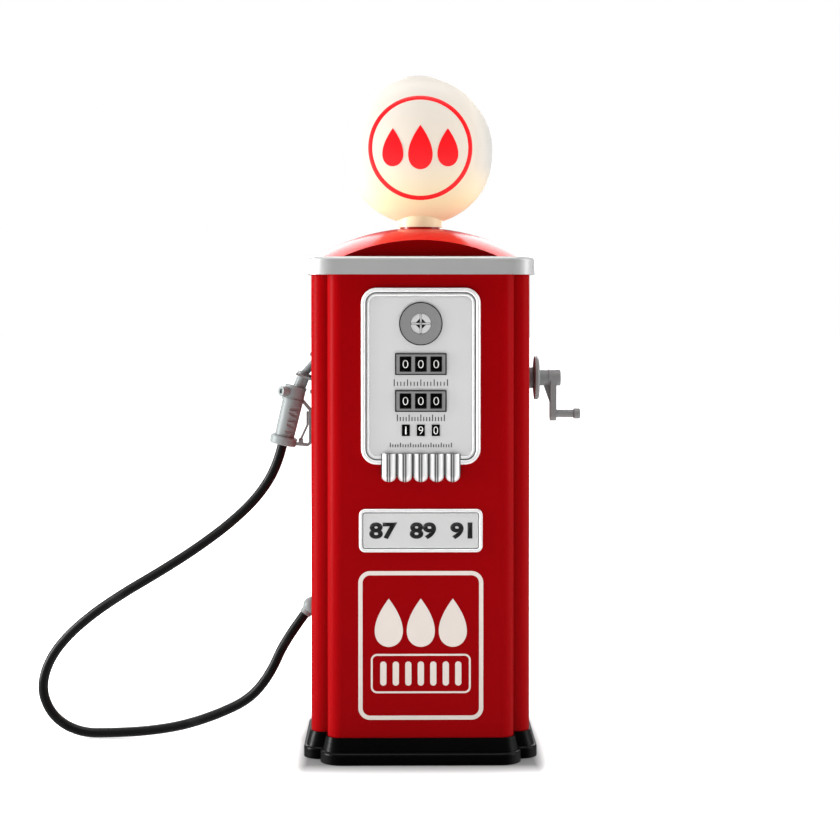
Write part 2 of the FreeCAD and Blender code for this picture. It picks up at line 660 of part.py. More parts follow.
def nozzle():
    half = collar_thickness / 2
    collar = rod(along(collar_centre, nozzle_tilt, -half), along(collar_centre, nozzle_tilt, half),
                 collar_radius)
    save("nozzle_collar", collar.makeFillet(2.0, [collar.Edges[0], collar.Edges[2]]))

    handle = cone(along(collar_centre, nozzle_tilt, half),
                  along(collar_centre, nozzle_tilt, valve_start), grip_low_radius,
                  grip_high_radius)
    tilt, turn = math.radians(nozzle_tilt), math.radians(notch_turn)
    axis, side = V(math.sin(tilt), 0, math.cos(tilt)), V(math.cos(tilt), 0, -math.sin(tilt))
    for i in range(notch_count):
        centre = V(*along(collar_centre, nozzle_tilt, notch_start + notch_pitch * i))
        for front in (V(0, -1, 0), V(0, 1, 0)):
            outward = side * math.sin(turn) + front * math.cos(turn)
            across = side * math.cos(turn) - front * math.sin(turn)
            lean = axis * (notch_slant * (-1) ** i)
            at = centre + outward * (grip_low_radius + notch_depth_out)
            handle = handle.cut(rod(at - across * 8 - lean, at + across * 8 + lean, notch_radius))
    valve = rod(along(collar_centre, nozzle_tilt, valve_start),
                along(collar_centre, nozzle_tilt, valve_end), valve_radius)
    for at, lip_grow in ((valve_start, 1.2), (valve_end - 3, valve_top_lip)):
        valve = valve.fuse(rod(along(collar_centre, nozzle_tilt, at),
                               along(collar_centre, nozzle_tilt, at + 3),
                               valve_radius + lip_grow))
    foot = along(collar_centre, nozzle_tilt, valve_end - 2, neck_shift)
    foot_2d = (foot[0], foot[2])
    neck_end = 2 + neck_length
    neck = rod(foot, along(foot_2d, neck_tilt, neck_end + lip_thickness), neck_radius)
    lip = rod(along(foot_2d, neck_tilt, neck_end), along(foot_2d, neck_tilt,
                                                         neck_end + lip_thickness), lip_radius)
    save("nozzle_body", handle.fuse([valve, neck, lip]).removeSplitter())

    root = along(foot_2d, neck_tilt, neck_end + lip_thickness)
    root_2d = (root[0], root[2])
    spout = cone(along(root_2d, spout_tilt, -3), along(root_2d, spout_tilt, spout_length),
                 spout_base_radius, spout_tip_radius)
    above = box((-60, -40, 0), (60, 40, 90))
    above.Placement = FreeCAD.Placement(V(*root), FreeCAD.Rotation(V(0, 1, 0), neck_tilt))
    bore = rod(along(root_2d, spout_tilt, 12), along(root_2d, spout_tilt, spout_length + 1),
               spout_tip_radius - 1.2)
    save("nozzle_spout", spout.common(above).cut(bore))

    cap_at = along(collar_centre, nozzle_tilt, (valve_start + valve_end) / 2 + 2)
    toward = V(-0.78, -0.62, 0.1).normalize()
    cap_end = V(*cap_at) + toward * (valve_radius + cap_reach)
    cap = Part.makeCylinder(cap_radius, valve_radius + cap_reach, V(*cap_at), toward)
    socket = Part.makeCylinder(cap_radius / 2, 3, cap_end - toward * 2.5, toward)
    valve_core = rod(along(collar_centre, nozzle_tilt, valve_start - 1),
                     along(collar_centre, nozzle_tilt, valve_end + 1), valve_radius)
    lips = rod(along(collar_centre, nozzle_tilt, valve_end - 3),
               along(collar_centre, nozzle_tilt, valve_end), valve_radius + valve_top_lip)
    save("nozzle_cap", cap.cut(valve_core).cut(lips).cut(socket))

    collar_side = along(collar_centre, nozzle_tilt, -1, collar_radius - 1)
    wall_gap = body_half_width + guard_gap + guard_thickness / 2
    base_z = collar_centre[1]
    valve_side = along(collar_centre, nozzle_tilt, valve_start + 4, valve_radius - 2)
    guard = bent_sheet([(collar_side[0], collar_side[2], 0), (-wall_gap, base_z - 6.5, 5),
                        (-wall_gap, base_z + 40.5, 6), (valve_side[0], valve_side[2], 0)],
                       guard_thickness, -guard_half_width, guard_half_width, "xz")
    x, z = lever_pivot
    for sign in (-1, 1):
        low, high = sorted((sign * (lever_half_width + side_gap), sign * guard_half_width))
        ear = prism([(x - 2.6, base_z - 4.9, 0), (x + 3, base_z - 4.9, 0), (x + 3, z + 1.5, 1.4),
                     (x - 2.6, z + 1.5, 1.4)], low, high, "xz")
        guard = guard.fuse(ear)
    guard = guard.cut(rod((x, -9, z), (x, 9, z), trigger_pin_radius))
    guard = guard.cut(collar).cut(valve_core).cut(valve)
    save("nozzle_guard", guard.cut(handle))
    save("trigger_pin", rod((x, -guard_half_width, z), (x, guard_half_width, z),
                            trigger_pin_radius))
    lever_x = -wall_gap - guard_thickness / 2 - side_gap * 2 - lever_thickness / 2
    lever = bent_sheet([(x, z, 0), (lever_x, base_z + 20.5, 6),
                        (lever_x, base_z + 38.5, 0)], lever_thickness,
                       -lever_half_width, lever_half_width, "xz")
    lever = lever.fuse(rod((x, -lever_half_width, z), (x, lever_half_width, z), lever_barrel))
    save("nozzle_trigger", lever.cut(rod((x, -9, z), (x, 9, z),
                                         trigger_pin_radius + running_clearance)))
    return foot_2d, neck_end


def holder(foot, neck_end):
    """The cast fork on the left wall that carries the nozzle's neck."""
    wall = -body_half_width
    back = prism(rectangle(holder_half_width, holder_low, holder_high, 10), wall - holder_plate,
                 wall, "yz")
    slot = neck_radius + fork_clearance
    plate = prism(rectangle(fork_half_width, -fork_reach, 60, 0), -fork_thickness, 0, "xy")
    plate = plate.cut(prism(rectangle(slot, -fork_reach - 5, 0, 0), -9, 9, "xy"))
    plate = plate.cut(Part.makeCylinder(slot, 20, V(0, 0, -9)))
    # local plan: u across the fork (Y), v from its open end to the wall
    plate.rotate(V(0, 0, 0), V(0, 0, 1), -90)
    seat = along(foot, neck_tilt, neck_end - side_gap)
    plate.Placement = FreeCAD.Placement(V(*seat), FreeCAD.Rotation(V(0, 1, 0), neck_tilt)
                                        ).multiply(plate.Placement)
    plate = plate.cut(box((wall - holder_plate / 2, -60, 300), (0, 60, 700)))
    bracket = back.fuse(plate)
    bracket = bracket.cut(rod((wall - 9, 0, port_height), (wall + 9, 0, port_height), port_radius))
    screws = []
    for y in (-holder_half_width + 6, holder_half_width - 6):
        for z in (holder_low + 6, holder_high - 6):
            head = turned([(0, -3.2), (1.5, -3.2), (1.5, 0), (3.4, 0), (3.2, 1.2), (2, 2), (0, 2.2)],
                          (wall - holder_plate, y, z), (-1, 0, 0))
            screws.append(head)
            bracket = bracket.cut(rod((wall - 9, y, z), (wall, y, z), 1.5))
    save("nozzle_holder", bracket)
    save("holder_screws", *[s.cut(box((wall, -60, 400), (0, 60, 600))) for s in screws])

    inner = wall + sheet
    cup = rod((wall, 0, port_height), (wall + port_depth, 0, port_height), port_radius + port_wall)
    cup = cup.fuse(rod((inner, 0, port_height), (inner + port_wall, 0, port_height),
                       port_radius + port_wall + 4))
    save("spout_port", cup.cut(rod((wall - 1, 0, port_height),
                                   (wall + port_depth - port_wall, 0, port_height), port_radius)))


# ---- hose and its outlet ----
def hose():
    route = [V(*p) for p in hose_route]
    edges, radii = [], []
    at = route[0]
    length = 0.0
    for i in range(1, len(route) - 1):
        a, b = route[i] - route[i - 1], route[i + 1] - route[i]
        turn = a.getAngle(b)
        reach = 0.45 * min(a.Length, b.Length)
        radius = reach / math.tan(turn / 2)
        radii.append(round(radius))
        into, out = a.normalize(), b.normalize()
        start, end = route[i] - into * reach, route[i] + out * reach
        inward = (out - into).normalize()
        middle = route[i] + inward * (radius / math.cos(turn / 2) - radius)
        edges += [Part.LineSegment(at, start).toShape(), Part.Arc(start, middle, end).toShape()]
        at = end
    edges.append(Part.LineSegment(at, route[-1]).toShape())
    path = Part.Wire(edges)
    circle = Part.Wire(Part.Circle(route[0], route[1] - route[0], hose_radius).toShape())
    tube = path.makePipeShell([circle], True, False)
    length = path.Length
    print("hose length", round(length, 1), "radii", radii)
    print("hose volume over section x length",
          round(tube.Volume / (math.pi * hose_radius ** 2 * length), 4))
    save("hose", tube)

    centre = V(outlet_centre[0], 0, outlet_centre[1])
    end = route[-1]
    wall = -body_half_width
    dome = Part.makeSphere(outlet_radius, centre)
    nipple = Part.makeCylinder(outlet_nipple_radius, outlet_nipple, centre, end - centre)
    dome = dome.fuse(nipple).cut(box((wall, -30, 100), (0, 30, 260)))
    stem = rod((wall, 0, centre.z), (wall + 12, 0, centre.z), outlet_stem_radius)
    save("hose_outlet", dome.fuse(stem))
    inner = wall + sheet
    nut = Part.makePolygon([V(inner, 11 * math.cos(math.radians(a)),
                              centre.z + 11 * math.sin(math.radians(a)))
                            for a in range(0, 420, 60)])
    nut = Part.Face(nut).extrude(V(4.5, 0, 0))
    save("outlet_nut", nut.cut(rod((inner - 1, 0, centre.z), (inner + 9, 0, centre.z),
                                   outlet_stem_radius)))


base()
cabinet()
top()
trim()
door()
crank()
holder(*nozzle())
hose()
print("parts", len(os.listdir("parts")))
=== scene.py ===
import json
import math

import bpy
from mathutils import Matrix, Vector


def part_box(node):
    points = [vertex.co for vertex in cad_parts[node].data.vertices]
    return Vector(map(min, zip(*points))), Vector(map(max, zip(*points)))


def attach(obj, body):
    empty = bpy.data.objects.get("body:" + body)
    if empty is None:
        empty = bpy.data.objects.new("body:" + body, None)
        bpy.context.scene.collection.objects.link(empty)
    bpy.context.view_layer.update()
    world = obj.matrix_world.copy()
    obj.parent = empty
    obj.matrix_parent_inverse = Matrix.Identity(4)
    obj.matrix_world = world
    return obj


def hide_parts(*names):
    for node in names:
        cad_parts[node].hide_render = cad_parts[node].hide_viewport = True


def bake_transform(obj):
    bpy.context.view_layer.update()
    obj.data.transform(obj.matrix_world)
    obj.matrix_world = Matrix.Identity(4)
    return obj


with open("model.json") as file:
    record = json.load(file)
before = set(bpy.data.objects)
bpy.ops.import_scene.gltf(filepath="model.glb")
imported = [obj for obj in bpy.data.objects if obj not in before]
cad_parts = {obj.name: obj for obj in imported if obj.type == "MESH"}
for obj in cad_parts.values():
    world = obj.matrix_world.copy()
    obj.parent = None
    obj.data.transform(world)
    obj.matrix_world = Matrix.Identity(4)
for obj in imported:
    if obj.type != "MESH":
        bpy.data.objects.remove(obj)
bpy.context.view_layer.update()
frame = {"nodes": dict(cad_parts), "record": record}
nodes = frame["nodes"]
print("frame loaded:", len(nodes), "nodes")

mm = 0.001


# selecting, placing and finishing a piece, as in the window
def clearSelection():
    if bpy.context.object and bpy.context.object.mode != "OBJECT":
        bpy.ops.object.mode_set(mode="OBJECT")
    bpy.ops.object.select_all(action="DESELECT")


def pick(*pieces):
    clearSelection()
    for piece in pieces:
        piece.select_set(True)
    bpy.context.view_layer.objects.active = pieces[0]


def applyPlace(piece):
    pick(piece)
    bpy.ops.object.transform_apply(location=True, rotation=True, scale=True)


def keepAs(piece, name, material, body="cabinet"):
    piece.name = name
    piece.data.name = name
    piece.data.materials.clear()
    piece.data.materials.append(material)
    if body:
        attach(piece, body)
    return piece


def modify(piece, kind, **values):
    pick(piece)
    modifier = piece.modifiers.new(kind, kind)
    for key, value in values.items():
        setattr(modifier, key, value)
    bpy.ops.object.modifier_apply(modifier=modifier.name)


def smooth(piece, degrees):
    pick(piece)
    bpy.ops.object.shade_smooth_by_angle(angle=math.radians(degrees))


# the corners and the middle of a CAD node's box
def low(name):
    return Vector(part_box(name)[0])


def high(name):
    return Vector(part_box(name)[1])


def middle(name):
    return (low(name) + high(name)) / 2


def grey(tone):
    return (tone, tone, tone)


# shader maths: a Wire is a socket that can be added, multiplied and so on
class Wire:
    def __init__(self, paint, socket):
        self.paint, self.socket = paint, socket

    def maths(self, operation, other, swap=False):
        first, second = (other, self) if swap else (self, other)
        return self.paint.node("ShaderNodeMath", {"operation": operation}, {0: first, 1: second})

    def __add__(self, other):
        return self.maths("ADD", other)

    def __sub__(self, other):
        return self.maths("SUBTRACT", other)

    def __rsub__(self, other):
        return self.maths("SUBTRACT", other, True)

    def __mul__(self, other):
        return self.maths("MULTIPLY", other)

    def __truediv__(self, other):
        return self.maths("DIVIDE", other)

    def __pow__(self, other):
        return self.maths("POWER", other)

    def __abs__(self):
        return self.paint.node("ShaderNodeMath", {"operation": "ABSOLUTE"}, {0: self})

    __radd__, __rmul__ = __add__, __mul__


class Paint:
    def __init__(self, name, roughness=0.5, metallic=0.0, coat=0.0, emission=0.0, shine=0.5):
        self.material = bpy.data.materials.new(name)
        self.material.use_nodes = True
        self.nodes = self.material.node_tree.nodes
        self.links = self.material.node_tree.links
        self.shader = self.nodes["Principled BSDF"]
        fixed = {"Roughness": roughness, "Metallic": metallic, "Coat Weight": coat,
                 "Coat Roughness": 0.06, "Emission Strength": emission,
                 "Specular IOR Level": shine}
        for name, value in fixed.items():
            self.shader.inputs[name].default_value = value

    def node(self, kind, settings=None, inputs=None, out=0):
        made = self.nodes.new(kind)
        for key, value in (settings or {}).items():
            if key == "stops":
                ramp = made.color_ramp
                while len(ramp.elements) < len(value):
                    ramp.elements.new(0.5)
                for element, (place, colour) in zip(ramp.elements, value):
                    element.position = place
                    element.color = (*colour, 1.0)
            else:
                setattr(made, key, value)
        for key, value in (inputs or {}).items():
            self.feed(made.inputs[key], value)
        return Wire(self, made.outputs[out])

    def feed(self, socket, value):
        if isinstance(value, Wire):
            self.links.new(value.socket, socket)
        elif isinstance(value, tuple) and socket.type == "RGBA":
            socket.default_value = (*value, 1.0)
        else:
            socket.default_value = value

    def place(self, out="Object"):
        return self.node("ShaderNodeTexCoord", out=out)

    def along(self, axis, vector=None):
        return self.node("ShaderNodeSeparateXYZ", {}, {0: vector or self.place()}, out=axis)

    def noise(self, scale, detail=3.0, stretch=(1.0, 1.0, 1.0), rough=0.5):
        spot = self.node("ShaderNodeVectorMath", {"operation": "MULTIPLY"},
                         {0: self.place(), 1: stretch})
        return self.node("ShaderNodeTexNoise", {}, {"Vector": spot, "Scale": scale,
                                                    "Detail": detail, "Roughness": rough})

    def ramp(self, factor, *stops):
        return self.node("ShaderNodeValToRGB", {"stops": stops}, {0: factor})

    def greys(self, factor, *stops):
        return self.ramp(factor, *((place, grey(tone)) for place, tone in stops))

    def mix(self, factor, first, second):
        return self.node("ShaderNodeMix", {"data_type": "RGBA"}, {0: factor, 6: first, 7: second},
                         out=2)

    def bump(self, height, distance):
        return self.node("ShaderNodeBump", {}, {"Height": height, "Distance": distance})

    def finish(self, **values):
        names = {"colour": "Base Color", "rough": "Roughness", "normal": "Normal",
                 "glow": "Emission Color"}
        for key, value in values.items():
            self.feed(self.shader.inputs[names[key]], value)
        return self.material


# sheet metal paint, with a faint orange peel
def enamel(name, deep, light, roughness):
    paint = Paint(name, roughness=roughness, shine=0.02)
    cloud = paint.noise(5.0, 4.0)
    grain = paint.noise(900.0, 2.0)
    orange = paint.noise(140.0, 2.0)
    colour = paint.mix(cloud * 0.7 + grain * 0.3, deep, light)
    rough = roughness + (cloud - 0.5) * 0.12 + (grain - 0.5) * 0.1
    return paint.finish(colour=colour, rough=rough,
                        normal=paint.bump(orange * 0.6 + grain * 0.4, 0.00012))


# the roof's upright front and back are painted darker than its crown: painted shade
def roofEnamel(name):
    paint = Paint(name, roughness=0.2, coat=0.05, shine=0.03)
    normal = paint.node("ShaderNodeNewGeometry", out="Normal")
    # a mask of the upright faces, which get a darker colour as painted shade
    uprightPaintedShade = paint.greys(abs(paint.along(1, normal)), (0.86, 0.0), (0.96, 1.0))
    cloud = paint.noise(5.0, 4.0)
    crown = paint.mix(cloud, (0.56, 0.0003, 0.001), (0.66, 0.001, 0.002))
    orange = paint.noise(140.0, 2.0)
    return paint.finish(colour=paint.mix(uprightPaintedShade, crown, (0.18, 0.0002, 0.0008)),
                        rough=0.2 + (cloud - 0.5) * 0.08, normal=paint.bump(orange, 0.0001))


def plastic(name, dark, light, roughness, coat=0.0, shine=0.3):
    paint = Paint(name, roughness=roughness, coat=coat, shine=shine)
    cloud = paint.noise(12.0, 3.0)
    grain = paint.noise(700.0, 2.0)
    colour = paint.mix(cloud * 0.5 + grain * 0.5, dark, light)
    rough = roughness + (cloud - 0.5) * 0.14 + (grain - 0.5) * 0.1
    return paint.finish(colour=colour, rough=rough, normal=paint.bump(grain, 0.00008))


def metal(name, dark, light, roughness):
    paint = Paint(name, roughness=roughness, metallic=0.9)
    brush = paint.noise(300.0, 3.0, (1.0, 1.0, 12.0))
    cloud = paint.noise(9.0, 3.0)
    colour = paint.mix(brush * 0.6 + cloud * 0.4, dark, light)
    rough = roughness + (brush - 0.5) * 0.2 + (cloud - 0.5) * 0.1
    return paint.finish(colour=colour, rough=rough, normal=paint.bump(brush, 0.00004))


def silverPaint(name, dark, light, roughness, metallic=0.35):
    paint = Paint(name, roughness=roughness, metallic=metallic, coat=0.2)
    flake = paint.noise(2600.0, 1.0)
    cloud = paint.noise(7.0, 3.0)
    colour = paint.mix(flake * 0.5 + cloud * 0.5, dark, light)
    rough = roughness + (flake - 0.5) * 0.16 + (cloud - 0.5) * 0.08
    return paint.finish(colour=colour, rough=rough, normal=paint.bump(flake, 0.00003))


# painted reflections run down each rib as dark streaks, with painted shade at its edges, at places
# from 0 to 1 across it
def ribChrome(name, pitch):
    paint = Paint(name, roughness=0.2, metallic=0.35, coat=0.2)
    ribsAcross = paint.along(0) / pitch + 10.5  # a rib's edge is a whole number, none below zero
    local = paint.node("ShaderNodeMath", {"operation": "FRACT"}, {0: ribsAcross})
    # dark is painted shade at a rib's edges and painted reflection streaks in its middle
    bright, dark, dull = 0.92, 0.07, 0.5
    paintedStreaksAndShade = paint.greys(local, (0.03, dark), (0.08, dull), (0.13, bright), (0.33, bright),
                          (0.37, dark), (0.42, dark), (0.46, dull), (0.51, dull), (0.54, dark),
                          (0.58, dark), (0.62, bright), (0.87, bright), (0.92, dull),
                          (0.97, dark))
    fine = paint.noise(700.0, 2.0, (1.0, 1.0, 0.1))
    return paint.finish(colour=paintedStreaksAndShade, rough=0.2 + (fine - 0.5) * 0.12,
                        normal=paint.bump(fine, 0.00003))


# lit from within: warm by the neck as a painted reflection of the red roof, paler above, and
# painted duller at its two sides as painted shade
def globeShell(name):
    paint = Paint(name, roughness=0.3, emission=0.22, shine=0.2)
    bottom, top = low("globe_front").z, high("globe_front").z
    rise = (paint.along(2) - bottom) / (top - bottom)
    cloud = paint.noise(14.0, 3.0)
    tone = rise + (cloud - 0.5) * 0.06
    # the warm tint low down, in colour and glow, is a painted reflection of the red roof
    colour = paint.ramp(tone, (0.0, (0.76, 0.69, 0.48)), (0.15, (0.68, 0.62, 0.39)),
                        (0.42, (0.56, 0.49, 0.41)), (1.0, (0.50, 0.47, 0.43)))
    glow = paint.ramp(tone, (0.0, (1.0, 0.70, 0.40)), (0.15, (0.92, 0.74, 0.40)),
                      (0.42, (1.0, 0.88, 0.74)), (1.0, (0.8, 0.75, 0.69)))
    # the globe's two sides are painted duller: painted shade
    spread = abs(paint.along(0)) / high("globe_front").x
    paintedSideShade = paint.greys(spread, (0.7, 0.0), (0.97, 1.0))
    paintedSideShade = paintedSideShade * paint.greys(tone, (0.15, 0.0), (0.4, 1.0))
    colour = paint.mix(paintedSideShade, colour, (0.40, 0.40, 0.385))
    glow = paint.mix(paintedSideShade, glow, (0.5, 0.5, 0.48))
    fine = paint.noise(500.0, 2.0)
    return paint.finish(colour=colour, glow=glow, rough=0.3 + (cloud - 0.5) * 0.1,
                        normal=paint.bump(fine, 0.00003))


def hoseRubber(name):
    paint = Paint(name, roughness=0.4, shine=0.16)
    fine = paint.noise(900.0, 2.0)
    scuff = paint.noise(30.0, 5.0, (1.0, 1.0, 0.6), 0.7)
    dust = paint.greys(scuff, (0.55, 0.0), (0.78, 1.0))
    colour = paint.mix(dust * 0.35, (0.006, 0.006, 0.006), (0.035, 0.034, 0.033))
    return paint.finish(colour=colour, rough=0.36 + dust * 0.12,
                        normal=paint.bump(fine, 0.00006))


looks = {
    "red_enamel": enamel("redEnamel", (0.225, 0.0002, 0.0012), (0.30, 0.0004, 0.002), 0.34),
    "dark_red_plastic": plastic("redCollar", (0.34, 0.001, 0.002), (0.42, 0.002, 0.004), 0.3,
                                coat=0.3),
    "black_plastic": plastic("blackMoulding", grey(0.001), grey(0.003), 0.3, shine=0.09),
    "silver_plastic": silverPaint("silverPaint", (0.38, 0.385, 0.38), (0.51, 0.515, 0.51), 0.42),
    "dial_card": silverPaint("dialCard", grey(0.52), grey(0.65), 0.5, 0.05),
    "grey_trim": plastic("greyTrim", grey(0.18), grey(0.235), 0.45),
    "cream_globe": globeShell("creamGlobe"),
    "lamp_opal": plastic("opalLamp", (0.8, 0.76, 0.68), (0.9, 0.88, 0.82), 0.3),
    "white_plastic": plastic("whiteMoulding", (0.74, 0.73, 0.7), (0.82, 0.81, 0.78), 0.4),
    "grey_plastic": plastic("greyMoulding", (0.17, 0.19, 0.19), (0.24, 0.262, 0.262), 0.4),
    "crank_plastic": plastic("crankMoulding", (0.165, 0.17, 0.17), (0.235, 0.242, 0.242), 0.38),
    "hose_rubber": hoseRubber("hoseRubber"),
    "plated_steel": metal("platedSteel", (0.42, 0.42, 0.41), (0.62, 0.62, 0.6), 0.3),
    "inside_steel": enamel("insideEnamel", (0.22, 0.0, 0.002), (0.30, 0.001, 0.004), 0.4),
    "magnet_black": plastic("magnetHousing", grey(0.01), grey(0.03), 0.5),
}
glossRed = roofEnamel("glossRed")
bezelSilver = silverPaint("bezelSilver", grey(0.88), grey(0.96), 0.26, 0.3)
for entry in frame["record"]["subparts"]:
    data = nodes[entry["node"]].data
    data.materials.clear()
    data.materials.append(looks[entry["material_slot"]])
nodes["roof_cap"].data.materials[0] = glossRed
print("finishes on", len(nodes), "nodes")

inkRed = plastic("printRed", (0.80, 0.004, 0.008), (0.92, 0.008, 0.014), 0.35)
inkWhite = plastic("printWhite", (0.65, 0.58, 0.53), (0.74, 0.67, 0.62), 0.4)
inkBlack = plastic("printBlack", grey(0.004), grey(0.012), 0.4)
greyInkAndGrooveShade = plastic("printGrey", grey(0.10), grey(0.15), 0.45)
digitWhite = plastic("digitWhite", (0.72, 0.72, 0.70), (0.84, 0.84, 0.82), 0.45)


# a rounded rectangle that faces the front, left open in edit mode
def roundedOutline(plate, segments):
    bpy.ops.mesh.primitive_plane_add(size=1)
    piece = bpy.context.object
    piece.scale = (plate["width"], plate["height"], 1)
    piece.rotation_euler = (math.radians(90), 0, 0)
    piece.location = (plate["x"], plate["y"], plate["z"])
    applyPlace(piece)
    bpy.ops.object.mode_set(mode="EDIT")
    bpy.ops.mesh.select_all(action="SELECT")
    if plate["radius"]:
        bpy.ops.mesh.bevel(offset=plate["radius"], segments=segments, affect="VERTICES")
    return piece


# printed shapes stand on the front, thin but solid; one with a line is a frame of that width
def roundedPlate(name, plate, material):
    piece = roundedOutline(plate, 8)
    if plate.get("line"):
        bpy.ops.mesh.select_mode(type="FACE")
        bpy.ops.mesh.select_all(action="SELECT")
        bpy.ops.mesh.inset(thickness=plate["line"])
        bpy.ops.mesh.delete(type="FACE")
    bpy.ops.object.mode_set(mode="OBJECT")
    modify(piece, "SOLIDIFY", thickness=plate["depth"], offset=1.0)
    return keepAs(piece, name, material)


def numbers(name, sign, material):
    bpy.ops.object.text_add()
    piece = bpy.context.object
    piece.data.body = sign["words"]
    piece.data.align_x, piece.data.align_y = "CENTER", "CENTER"
    piece.data.offset = sign.get("weight", 0.0)
    piece.data.resolution_u = 6
    bpy.ops.object.convert(target="MESH")
    piece = bpy.context.object
    size = piece.dimensions
    piece.scale = (sign["width"] / size.x, sign["height"] / size.y, 1)
    piece.rotation_euler = (math.radians(90), 0, 0)
    applyPlace(piece)
    corners = [Vector(c) for c in piece.bound_box]
    centre = (corners[0] + corners[6]) / 2
    piece.location = Vector((sign["x"], sign["y"], sign["z"])) - centre
    applyPlace(piece)
    modify(piece, "SOLIDIFY", thickness=sign["depth"], offset=0.0)
    return keepAs(piece, name, material)


# a disc drawn out to a point at its top; fullest brings its widest part to its width
def drop(name, shape, material):
    bpy.ops.mesh.primitive_circle_add(vertices=64, radius=1, fill_type="TRIFAN")
    piece = bpy.context.object
    bpy.ops.object.mode_set(mode="EDIT")
    bpy.ops.mesh.select_all(action="SELECT")
    bpy.ops.mesh.subdivide(number_cuts=3)
    bpy.ops.object.mode_set(mode="OBJECT")
    fullest = 0.65
    for vertex in piece.data.vertices:
        turn = math.atan2(vertex.co.x, -vertex.co.y)
        reach = math.hypot(vertex.co.x, vertex.co.y)
        vertex.co.x = reach * math.sin(turn) * math.cos(turn / 2) * fullest * shape["width"]
        vertex.co.y = -reach * math.cos(turn) * shape["height"] / 2
    piece.rotation_euler = (math.radians(90), 0, 0)
    piece.location = (shape["x"], shape["y"], shape["z"])
    applyPlace(piece)
    modify(piece, "SOLIDIFY", thickness=shape["depth"], offset=1.0)
    return keepAs(piece, name, material)


# hose: the route's points steer one smooth curve
hose = {
    "radius": 6.6 * mm,
    "route": [(-184.2, 0, 400.2), (-191.1, 0, 371.0), (-216, 1, 331), (-252, 2, 296),
              (-300, 5, 260), (-350, 8, 228), (-401, 11, 198), (-446, 14, 167), (-482, 17, 134),
              (-504, 19, 101), (-512, 21, 64), (-496, 23, 28), (-461, 25, 6.8), (-415, 25, 6.7),
              (-365, 21, 10.3), (-318, 16, 19), (-270, 10, 36), (-227, 5, 58), (-200, 2, 93),
              (-181, 0, 137), (-154, 0, 173)],
}
line = bpy.data.curves.new("hoseLine", "CURVE")
line.dimensions = "3D"
line.resolution_u = 12
spline = line.splines.new("NURBS")
spline.points.add(len(hose["route"]) - 1)
for point, (x, y, z) in zip(spline.points, hose["route"]):
    point.co = (x * mm, y * mm, z * mm, 1)
spline.order_u = 3
spline.use_endpoint_u = True
carrier = bpy.data.objects.new("hoseLine", line)
bpy.context.scene.collection.objects.link(carrier)
bpy.context.view_layer.update()
readOut = bpy.data.meshes.new_from_object(carrier)
bpy.data.meshes.remove(readOut)
line.bevel_depth = hose["radius"]
line.bevel_resolution = 7
line.use_fill_caps = True
pick(carrier)
bpy.ops.object.convert(target="MESH")
hoseTube = bpy.context.object
smooth(hoseTube, 60)
keepAs(hoseTube, "hoseTube", looks["hose_rubber"], None)
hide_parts("hose")
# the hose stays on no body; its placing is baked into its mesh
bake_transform(hoseTube)

# front lower print
front = low("front_panel").y
printDepth = 0.25 * mm
frameBox = {"x": 0, "y": front, "z": 151.8 * mm, "width": 160 * mm, "height": 191 * mm,
            "radius": 15 * mm, "line": 5.4 * mm, "depth": printDepth}
smallFrameBox = {**frameBox, "z": 115.7 * mm, "width": 128 * mm, "height": 50.5 * mm,
                 "radius": 8 * mm, "line": 2.4 * mm}
dropBox = {"pitch": 41 * mm, "y": front, "z": 181 * mm, "width": 36 * mm, "height": 62 * mm,
           "depth": printDepth}
barBox = {"pitch": 16 * mm, "y": front, "z": smallFrameBox["z"], "width": 8 * mm,
          "height": 31 * mm, "radius": 3.9 * mm, "depth": printDepth}
roundedPlate("printedFrame", frameBox, inkWhite)
roundedPlate("printedSmallFrame", smallFrameBox, inkWhite)
for i in (-1, 0, 1):
    drop("printedDrop" + str(i + 2), {**dropBox, "x": i * dropBox["pitch"]}, inkWhite)
for i in range(7):
    roundedPlate("printedBar" + str(i + 1), {**barBox, "x": (i - 3) * barBox["pitch"]}, inkWhite)


# a moulded plate: its outline is stepped inwards, and each step is (inwards, outwards)
def steppedPlate(plate):
    piece = roundedOutline(plate, 12)
    bpy.ops.mesh.select_mode(type="FACE")
    bpy.ops.mesh.select_all(action="SELECT")
    bpy.ops.mesh.extrude_region_move(TRANSFORM_OT_translate={"value": (0, -plate["base"], 0)})
    for inwards, outwards in plate["steps"]:
        bpy.ops.mesh.inset(thickness=inwards * mm, depth=outwards * mm)
    bpy.ops.mesh.select_all(action="DESELECT")
    bpy.ops.mesh.select_mode(type="EDGE")
    bpy.ops.mesh.select_non_manifold()
    bpy.ops.object.mode_set(mode="OBJECT")
    if any(edge.select for edge in piece.data.edges):  # the back is still open
        bpy.ops.object.mode_set(mode="EDIT")
        bpy.ops.mesh.edge_face_add()
        bpy.ops.object.mode_set(mode="OBJECT")
    smooth(piece, 50)
    return piece


# grade plate
gradeBox = {"x": 0, "y": front, "width": high("grade_plate").x * 2, "height": 55.4 * mm,
            "z": middle("grade_plate").z, "radius": 8 * mm, "base": 1.4 * mm,
            "steps": ((0.5, 0.8), (0.8, 0.6), (1.0, 0.2), (1.0, -0.2), (0.7, -0.7), (0.4, -0.9),
                      (0.9, 0.0), (0.4, 0.7), (0.7, 0.1))}
gradePlate = keepAs(steppedPlate(gradeBox), "gradePlate", bezelSilver)
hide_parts("grade_plate")
plateFace = front - 1.95 * mm
roundedPlate("gradeCard", {"x": 0, "y": plateFace, "z": gradeBox["z"],
                           "width": gradeBox["width"] - 14 * mm, "height": 41.4 * mm,
                           "radius": 2.2 * mm, "depth": 0.15 * mm}, looks["dial_card"])
numbers("gradeNumbers", {"words": "87  89  91", "width": 132 * mm, "height": 21.5 * mm, "x": 0,
                         "y": plateFace, "z": gradeBox["z"], "weight": 0.045,
                         "depth": 0.7 * mm}, inkBlack)

